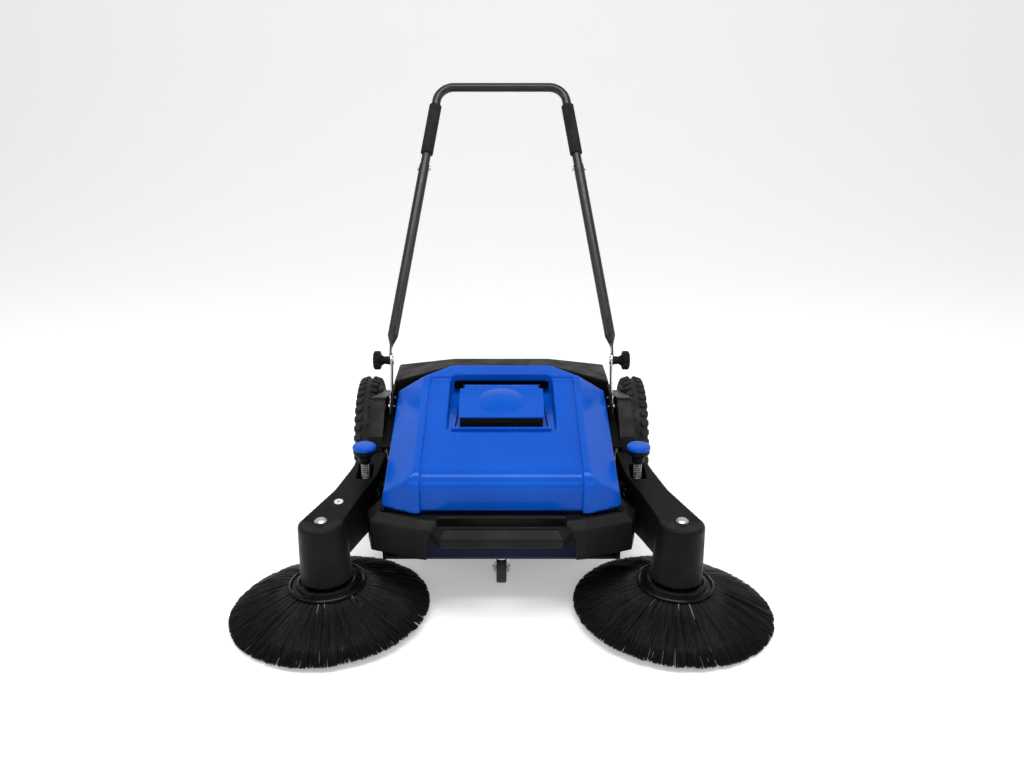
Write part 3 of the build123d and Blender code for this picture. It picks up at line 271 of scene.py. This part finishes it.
# %% [markdown]
# ## Soft edges on the big mouldings
# A moulded shell has no sharp edge: plastic won't fill one, and the tool has to let go. The exact parts leave
# their creases sharp, and bevelling them fails where an arc's short edges meet a corner. So a copy of each
# large moulding is rebuilt as a fine, even skin and then relaxed, which rounds every crease the same way.

# %% Round the edges of a copy
def soften(node, grain, passes, finish, kept=1.0):
    """A copy with an even skin and relaxed creases, thinned to the share kept, stands for the part."""
    source = nodes[node]
    body = source["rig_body"]
    moulding = bpy.data.objects.new(f"{node}_moulding", source.data.copy())
    bpy.context.scene.collection.objects.link(moulding)
    pick(moulding)
    bpy.ops.object.mode_set(mode="EDIT")
    bpy.ops.mesh.select_all(action="SELECT")
    bpy.ops.mesh.customdata_custom_splitnormals_clear()
    bpy.ops.mesh.remove_doubles(threshold=0.00002)
    bpy.ops.object.mode_set(mode="OBJECT")
    skin = moulding.modifiers.new("skin", "REMESH")
    skin.mode = "VOXEL"
    skin.voxel_size = grain
    relax = moulding.modifiers.new("relax", "SMOOTH")
    relax.factor = 0.5
    relax.iterations = passes
    bpy.ops.object.modifier_apply(modifier="skin")
    bpy.ops.object.modifier_apply(modifier="relax")
    if kept < 1:
        thin = moulding.modifiers.new("thin", "DECIMATE")
        thin.ratio = kept
        bpy.ops.object.modifier_apply(modifier="thin")
    bpy.ops.object.shade_smooth()
    dress(moulding, finish)
    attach(moulding, body)
    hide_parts(node)
    print(moulding.name, "faces", len(moulding.data.polygons))


lowest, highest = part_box("left_broom_spindle")
spindle_y = (lowest.y + highest.y) / 2
soften("bin_cover", 0.0022, 5, blue_plastic, kept=0.5)
soften("front_bumper", 0.0022, 4, bumper_plastic)
soften("rear_cover", 0.0026, 4, black_plastic)
for side in ("left", "right"):
    soften(f"{side}_arm", 0.0018, 5, black_plastic)

# %% [markdown]
# ## Tyres
# The tyres are solid rubber with a row of chunky shoulder blocks on each side, set half a step apart. The
# body of a tyre starts as a ring of round section, flattened where it meets the ground. One block is made,
# bevelled, and spun round the axle.

# %% One lugged tyre
LUGS = 40  # on each side
SECTION_DEEP = 0.046  # from the tread to the rim
RING_BELOW_TREAD = 0.004
CROWN_BELOW_TREAD = 0.0065
CROWN_CURVE = 2.2
SIDE_GAP = 0.0015
LUG_OUT = 0.60  # a lug's middle, as a share of the tyre's half width
LUG_LONG, LUG_HIGH = 0.0135, 0.0180
LUG_WIDE = 0.72  # a share of the half width
LUG_BELOW_TREAD = 0.0094
SHOULDER_DROP, SHOULDER_FROM, SHOULDER_OVER = 0.007, 0.72, 0.24
LUG_SWEEP = 0.0045


def tyre(side):
    """A ring with two rows of lugs, in place of the plain tyre."""
    low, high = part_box(f"{side}_tyre")
    middle = (low + high) / 2
    outer = (high.z - low.z) / 2
    half_wide = (high.x - low.x) / 2
    inner = outer - SECTION_DEEP
    section = (outer - RING_BELOW_TREAD - inner) / 2
    bpy.ops.mesh.primitive_torus_add(
        major_radius=inner + section, minor_radius=section, major_segments=120, minor_segments=24,
        rotation=(0, math.pi / 2, 0), location=middle,
    )
    ring = new_piece(f"{side}_tyre_ring")
    settle(ring)
    tread_r = outer - CROWN_BELOW_TREAD
    for vertex in ring.data.vertices:
        arm = Vector((0, vertex.co.y - middle.y, vertex.co.z - middle.z))
        x = (vertex.co.x - middle.x) * (half_wide - SIDE_GAP) / section
        held = min(arm.length, tread_r - CROWN_CURVE * x * x)
        vertex.co = middle + Vector((x, 0, 0)) + arm * (held / arm.length)
    pieces = [ring]
    for hand in (1, -1):
        lug_x = middle.x + hand * half_wide * LUG_OUT
        turn = 0 if hand > 0 else math.pi / LUGS
        lug_z = middle.z + outer - LUG_BELOW_TREAD
        bpy.ops.mesh.primitive_cube_add(size=1, location=(lug_x, middle.y, lug_z))
        lug = new_piece("lug")
        lug.scale = (half_wide * LUG_WIDE, LUG_LONG, LUG_HIGH)
        settle(lug)
        bpy.ops.object.mode_set(mode="EDIT")
        bpy.ops.mesh.select_all(action="SELECT")
        bpy.ops.mesh.bevel(offset=0.0022, segments=2)
        bpy.ops.object.mode_set(mode="OBJECT")
        for vertex in lug.data.vertices:
            out = hand * (vertex.co.x - middle.x) / half_wide
            vertex.co.z -= SHOULDER_DROP * max(0, out - SHOULDER_FROM) / SHOULDER_OVER
            vertex.co.y += LUG_SWEEP * hand * (out - LUG_OUT)
        bpy.ops.object.mode_set(mode="EDIT")
        bpy.ops.mesh.select_all(action="SELECT")
        bpy.ops.mesh.spin(
            steps=LUGS - 1, dupli=True, angle=math.tau * (LUGS - 1) / LUGS, center=middle, axis=(1, 0, 0),
        )
        bpy.ops.object.mode_set(mode="OBJECT")
        if turn:
            lug.data.transform(
                Matrix.Translation(middle) @ Matrix.Rotation(turn, 4, "X") @ Matrix.Translation(-middle)
            )
        pieces.append(lug)
    bpy.ops.object.select_all(action="DESELECT")
    for piece in pieces:
        piece.select_set(True)
    bpy.context.view_layer.objects.active = ring
    bpy.ops.object.join()
    ring.name = ring.data.name = f"{side}_tyre_lugged"
    smooth(ring, 32)
    dress(ring, tyre_rubber)
    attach(ring, f"{side}_wheel")
    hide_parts(f"{side}_tyre")
    print(ring.name, "faces", len(ring.data.polygons))


tyre("left")
tyre("right")

# %% [markdown]
# ## The rim round the latch
# The latch box stands in a shallow tray of its own, walled by a thin raised rim on three sides. Three
# bevelled bars make it: they are joined by a union, so that no wall is left inside, tilted to the floor's
# gentle slope, and set with their feet a little into it.

# %% Latch rim
RIM_WIDE = 0.0065
RIM_HIGH = 0.0085
RIM_SUNK = 0.0015  # how far its foot goes into the floor
FLOOR_DROP = 0.0014  # from the latch box's underside to the floor at the rim's front
RIM_HALF_FRONT, RIM_HALF_REAR = 0.105, 0.099
RIM_AHEAD = 0.012  # of the latch box
RIM_DEEP = 0.096
FLOOR_RISE = math.atan(0.08)  # the pocket's floor climbs backwards


def bar(start, end):
    """A bevelled bar along one stretch of the rim."""
    run = Vector(end) - Vector(start)
    bpy.ops.mesh.primitive_cube_add(size=1)
    piece = new_piece("bar")
    piece.scale = (run.length + RIM_WIDE, RIM_WIDE, RIM_HIGH + RIM_SUNK)
    settle(piece)
    bpy.ops.object.mode_set(mode="EDIT")
    bpy.ops.mesh.select_all(action="SELECT")
    bpy.ops.mesh.bevel(offset=0.0018, segments=3)
    bpy.ops.object.mode_set(mode="OBJECT")
    middle = (Vector(start) + Vector(end)) / 2
    piece.rotation_euler = (0, 0, math.atan2(run.y, run.x))
    piece.location = (middle.x, middle.y, (RIM_HIGH - RIM_SUNK) / 2)
    return settle(piece)


def latch_rim():
    box_low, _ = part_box("latch_box")
    front = box_low.y - RIM_AHEAD
    rear = front + RIM_DEEP
    bars = [
        bar((-RIM_HALF_FRONT, front), (RIM_HALF_FRONT, front)),
        bar((-RIM_HALF_FRONT, front), (-RIM_HALF_REAR, rear)),
        bar((RIM_HALF_FRONT, front), (RIM_HALF_REAR, rear)),
    ]
    bpy.ops.object.select_all(action="DESELECT")
    for piece in bars:
        piece.select_set(True)
    bpy.context.view_layer.objects.active = bars[0]
    bpy.ops.object.join()
    rim = new_piece("latch_rim")
    bpy.ops.object.mode_set(mode="EDIT")
    bpy.ops.mesh.select_all(action="SELECT")
    bpy.ops.mesh.intersect_boolean(operation="UNION", use_self=True, solver="EXACT")
    bpy.ops.object.mode_set(mode="OBJECT")
    place = Matrix.Translation((0, front, box_low.z - FLOOR_DROP)) @ Matrix.Rotation(FLOOR_RISE, 4, "X")
    rim.data.transform(place @ Matrix.Translation((0, -front, 0)))
    smooth(rim, 40)
    dress(rim, blue_plastic)
    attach(rim, "dust_bin")
    print(rim.name, "faces", len(rim.data.polygons))


latch_rim()

# %% [markdown]
# ## A round tag on one arm
# Somebody has stuck a small white inspection tag beside one bolt. It is a thin disc with a plain dark dash,
# no lettering, laid flat on the arm's slope.

# %% Arm tag
TAG_TILT = math.atan(0.165)  # the arm's slope
TAG_LIFT, DASH_LIFT = 0.0004, 0.0008
tag_place = Vector((-0.334, spindle_y + 0.068, 0.2170))
white_film, tree, shader = blank_material("white_film")
film_place = add_node(tree, "ShaderNodeTexCoord").outputs["Object"]
film_noise = add_node(tree, "ShaderNodeTexNoise", Scale=180.0, Detail=3.0)
tree.links.new(film_place, film_noise.inputs["Vector"])
film_colour = blend_colours(tree, film_noise.outputs[0], (0.55, 0.55, 0.53), (0.80, 0.80, 0.79))
tree.links.new(film_colour, shader.inputs["Base Color"])
shader.inputs["Roughness"].default_value = 0.35
for name, radius, thick, squeeze, finish in (
    ("arm_tag", 0.0092, 0.0006, 1.0, white_film),
    ("arm_tag_dash", 0.0036, 0.0004, 0.35, black_plastic),
):
    bpy.ops.mesh.primitive_cylinder_add(vertices=40, radius=radius, depth=thick)
    tag = new_piece(name)
    tag.scale = (1, squeeze, 1)
    tag.rotation_euler = (0, 0, math.radians(35))
    settle(tag)
    bpy.ops.object.mode_set(mode="EDIT")
    bpy.ops.mesh.select_all(action="SELECT")
    bpy.ops.mesh.bevel(offset=thick / 4, segments=1)
    bpy.ops.object.mode_set(mode="OBJECT")
    lift = TAG_LIFT if name == "arm_tag" else DASH_LIFT
    tag.rotation_euler = (TAG_TILT, 0, 0)
    tag.location = tag_place + Vector((0, 0, lift))
    settle(tag)
    smooth(tag, 40)
    dress(tag, finish)
    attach(tag, "right_broom_arm")

# %% [markdown]
# ## Bristles
# A side broom holds its bristles in rings of drilled holes, a tuft to a hole. The outer rings lean furthest
# out. Each filament is stiff polypropylene, so it leaves its hole straight and bows only near the floor. One
# tapered filament is modelled, and copies of it are bent and set round the ring; chance, from a fixed seed,
# gives each its own lean, reach and twist so that the tips make a ragged edge.

# %% Bristle finish
def bristle_finish(name):
    """Black filaments: each has its own shade, and a painted sheen lightens them near the root."""
    material, tree, shader = blank_material(name)
    own = add_node(tree, "ShaderNodeAttribute", attribute_name="strand")
    along = add_node(tree, "ShaderNodeAttribute", attribute_name="along")
    shade = blend_colours(tree, own.outputs["Fac"], (0.0022, 0.0022, 0.0022), (0.0095, 0.0095, 0.0096))
    # Painted sheen: the filaments' colour is made lighter towards their roots, standing in for the light they
    # catch there.
    root_sheen_painted = spread(tree, along.outputs["Fac"], 0.02, 0.3, 0.4, 0)
    shade = blend_colours(tree, root_sheen_painted, shade, (0.06, 0.061, 0.063))
    tree.links.new(shade, shader.inputs["Base Color"])
    tree.links.new(spread(tree, own.outputs["Fac"], 0, 1, 0.26, 0.46), shader.inputs["Roughness"])
    shader.inputs["Specular IOR Level"].default_value = 0.16
    return material


bristle_black = bristle_finish("bristle_black")

# %% One filament
STEPS = 4  # lengths along a filament, enough for a gentle bow


def model_filament():
    """A three-sided taper one metre long and one metre across its root, cut into a few lengths."""
    bpy.ops.mesh.primitive_cone_add(
        vertices=3, radius1=1, radius2=0.8, depth=1, end_fill_type="NGON", location=(0, 0, 0.5),
    )
    filament = new_piece("filament")
    settle(filament)
    for cut in range(1, STEPS):
        bpy.ops.object.mode_set(mode="EDIT")
        bpy.ops.mesh.select_all(action="SELECT")
        bpy.ops.mesh.bisect(plane_co=(0, 0, cut / STEPS), plane_no=(0, 0, 1))
        bpy.ops.object.mode_set(mode="OBJECT")
    return filament


filament = model_filament()
filament_points = np.array([v.co for v in filament.data.vertices])
filament_faces = [list(f.vertices) for f in filament.data.polygons]
bpy.data.objects.remove(filament)
print("a filament has", len(filament_points), "points and", len(filament_faces), "faces")


# %% Many filaments in one mesh
def plant(name, roots, tips, bows, thickness, shades):
    """Copy the filament from each root to its tip, bowed by its own amount."""
    heights = filament_points[:, 2]
    every, strand, along = [], [], []
    for root, tip, bow, shade in zip(roots, tips, bows, shades):
        line = tip - root
        length = np.linalg.norm(line)
        ahead = line / length
        side = np.cross(ahead, (0.31, 0.17, 0.93))
        side /= np.linalg.norm(side)
        up = np.cross(side, ahead)
        turn = shade * 6.283
        across = np.cos(turn) * side + np.sin(turn) * up
        beside = np.cross(ahead, across)
        points = root + heights[:, None] * line + np.outer(heights * (1 - heights) * 4, bow)
        section = np.outer(filament_points[:, 0], across) + np.outer(filament_points[:, 1], beside)
        points += thickness * section
        every.append(points)
        strand.append(np.full(len(heights), shade))
        along.append(heights)
    count = len(filament_points)
    faces = [[v + i * count for v in face] for i in range(len(every)) for face in filament_faces]
    mesh = bpy.data.meshes.new(name)
    mesh.from_pydata(np.concatenate(every).tolist(), [], faces)
    for attribute, values in (("strand", strand), ("along", along)):
        layer = mesh.attributes.new(attribute, "FLOAT", "POINT")
        layer.data.foreach_set("value", np.concatenate(values).astype(np.float32))
    piece = bpy.data.objects.new(name, mesh)
    bpy.context.scene.collection.objects.link(piece)
    pick(piece)
    bpy.ops.object.mode_set(mode="EDIT")
    bpy.ops.mesh.select_all(action="SELECT")
    bpy.ops.mesh.normals_make_consistent(inside=False)
    bpy.ops.object.mode_set(mode="OBJECT")
    bpy.ops.object.shade_smooth()
    return piece


# %% The side brooms
LEAN = math.radians(2.2)  # the spindles lean outwards by this
TIP_R = 0.205
ROOT_H = 0.0575  # the underside of the bristle plate
broom_rings = [  # holes, bristles a hole, root radius, tip radius: lowest and highest
    (48, 86, 0.0715, 0.2000, 0.2040),
    (40, 34, 0.0655, 0.172, 0.198),
    (32, 18, 0.0590, 0.120, 0.168),
]


BROOM_X = 0.351  # where a spindle's line meets the floor
BROOM_THICK = 0.0009


def broom(side, sign):
    """One side broom's filaments, in place of its plain bristle disc."""
    chance = random.Random(11 if sign > 0 else 12)
    lean = Matrix.Rotation(sign * LEAN, 3, "Y")
    foot = Vector((sign * BROOM_X, spindle_y, TIP_R * math.sin(LEAN)))
    turn = np.array(lean)
    roots, tips, bows, shades = [], [], [], []
    for holes, strands, root_r, tip_low, tip_high in broom_rings:
        for hole in range(holes):
            middle = (hole + chance.uniform(-0.12, 0.12)) / holes * math.tau
            reach = chance.uniform(tip_low, tip_high)
            for _ in range(strands):
                angle = middle + chance.uniform(-0.62, 0.62) / holes * math.tau
                tip_r = min(tip_high, reach + chance.gauss(0, 0.0018))
                start = middle + chance.uniform(-0.0032, 0.0032) / root_r
                root_at = root_r + chance.uniform(-0.0025, 0.0025)
                tip_z = chance.uniform(0.0012, 0.006)
                roots.append((root_at * math.cos(start), root_at * math.sin(start), ROOT_H + 0.001))
                tips.append((tip_r * math.cos(angle), tip_r * math.sin(angle), tip_z))
                lift = chance.uniform(0.001, 0.006)
                bows.append((0, 0, lift))
                shades.append(chance.random())
    place = lambda rows: np.array(rows) @ turn.T
    piece = plant(
        f"{side}_broom_filaments", place(roots) + np.array(foot), place(tips) + np.array(foot), place(bows),
        BROOM_THICK, shades,
    )
    dress(piece, bristle_black)
    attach(piece, f"{side}_broom")
    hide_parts(f"{side}_broom_bristles")
    print(piece.name, len(roots), "bristles")


broom("left", 1)
broom("right", -1)

# %% [markdown]
# The roller's bristles stand in six straight rows along its core, a tuft every few millimetres, and reach
# just clear of the floor.

# %% The roller
ROWS, TUFTS, STRANDS = 6, 74, 11
ROW_R = 0.037  # where the filaments leave the core
ROLLER_THICK = 0.0007
END_GAP = 0.003


def roller_brush():
    """The roller's filaments, in place of its plain brush."""
    chance = random.Random(21)
    low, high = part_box("roller_bristles")
    centre_y, centre_z = (low.y + high.y) / 2, (low.z + high.z) / 2
    reach = min(high.y - centre_y, high.z - centre_z)
    roots, tips, bows, shades = [], [], [], []
    for row in range(ROWS):
        for tuft in range(TUFTS):
            x = low.x + END_GAP + (high.x - low.x - 2 * END_GAP) * tuft / (TUFTS - 1)
            for _ in range(STRANDS):
                angle = row / ROWS * math.tau + chance.uniform(-0.10, 0.10)
                spread_angle = angle + chance.gauss(0, 0.035)
                tip_r = reach - chance.uniform(0.0005, 0.005)
                tip_x = min(high.x, max(low.x, x + chance.gauss(0, 0.003)))
                root_x = x + chance.uniform(-0.002, 0.002)
                roots.append((root_x, centre_y + ROW_R * math.cos(angle), centre_z + ROW_R * math.sin(angle)))
                tip_y = centre_y + tip_r * math.cos(spread_angle)
                tips.append((tip_x, tip_y, centre_z + tip_r * math.sin(spread_angle)))
                bows.append((chance.gauss(0, 0.001), 0, 0))
                shades.append(chance.random())
    piece = plant("roller_filaments", np.array(roots), np.array(tips), np.array(bows), ROLLER_THICK, shades)
    dress(piece, bristle_black)
    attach(piece, "roller")
    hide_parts("roller_bristles")
    print(piece.name, len(roots), "bristles")


roller_brush()

# %% [markdown]
# ## The room
# A pale floor that curves up into a pale wall gives no horizon line. The light is a wide overhead panel,
# which lays the long soft band on the front bend of the blue cover, with a weaker panel on each side.

# %% Floor and wall
WALL_Y = 4.9  # the floor's far edge is just past this
bpy.ops.mesh.primitive_plane_add(size=1, location=(0, 0, 0))
backdrop = new_piece("backdrop")
backdrop.scale = (24, 12, 1)
backdrop.location = (0, -1, -0.0005)
settle(backdrop)
bpy.ops.object.mode_set(mode="EDIT")
bpy.ops.mesh.select_all(action="DESELECT")
bpy.ops.object.mode_set(mode="OBJECT")
for edge in backdrop.data.edges:
    edge.select = all(backdrop.data.vertices[v].co.y > WALL_Y for v in edge.vertices)
bpy.context.tool_settings.mesh_select_mode = (False, True, False)
bpy.ops.object.mode_set(mode="EDIT")
bpy.ops.mesh.extrude_region_move(TRANSFORM_OT_translate={"value": (0, 0, 9)})
bpy.ops.object.mode_set(mode="OBJECT")
for edge in backdrop.data.edges:
    ends = [backdrop.data.vertices[v].co for v in edge.vertices]
    edge.select = all(end.y > WALL_Y and end.z < 1 for end in ends)
bpy.ops.object.mode_set(mode="EDIT")
bpy.ops.mesh.bevel(offset=2.5, segments=16)
bpy.ops.object.mode_set(mode="OBJECT")
bpy.ops.object.shade_smooth()
backdrop_paint, tree, shader = blank_material("backdrop_paint")
shader.inputs["Base Color"].default_value = (0.86, 0.86, 0.86, 1)
shader.inputs["Roughness"].default_value = 0.85
shader.inputs["Emission Color"].default_value = (1, 1, 1, 1)
shader.inputs["Emission Strength"].default_value = 0.32
dress(backdrop, backdrop_paint)

# %% Lights
def panel(name, place, towards, size, power):
    lamp = bpy.data.lights.new(name, "AREA")
    lamp.shape = "RECTANGLE"
    lamp.size, lamp.size_y = size
    lamp.energy = power
    holder = bpy.data.objects.new(name, lamp)
    bpy.context.scene.collection.objects.link(holder)
    holder.location = place
    holder.rotation_euler = (Vector(towards) - Vector(place)).to_track_quat("-Z", "Y").to_euler()


panel("overhead", (0, -0.7, 3.0), (0, 0, 0), (2.8, 0.9), 62)
panel("front", (0.3, -3.6, 2.2), (0, 0, 0.3), (2.6, 1.4), 16)
panel("left_side", (3.0, -0.8, 1.8), (0, 0, 0.3), (1.4, 1.8), 20)
panel("right_side", (-3.0, -0.8, 1.8), (0, 0, 0.3), (1.4, 1.8), 20)
world = bpy.data.worlds.new("room")
bpy.context.scene.world = world
world.use_nodes = True
world.node_tree.nodes["Background"].inputs["Color"].default_value = (1, 1, 1, 1)
world.node_tree.nodes["Background"].inputs["Strength"].default_value = 0.36
bpy.context.scene.view_settings.view_transform = "Standard"

# %% Camera
# A little above the handle's height, looking down on the machine from in front of its brooms.
lens = bpy.data.cameras.new("camera")
lens.lens, lens.sensor_width = 32.54, 36
lens.shift_x, lens.shift_y = 0.0103, 0.0057
camera = bpy.data.objects.new("camera", lens)
bpy.context.scene.collection.objects.link(camera)
camera.location = (0, spindle_y - 1.642, 1.073)
camera.rotation_euler = (math.radians(70.3), 0, 0)
bpy.context.scene.camera = camera
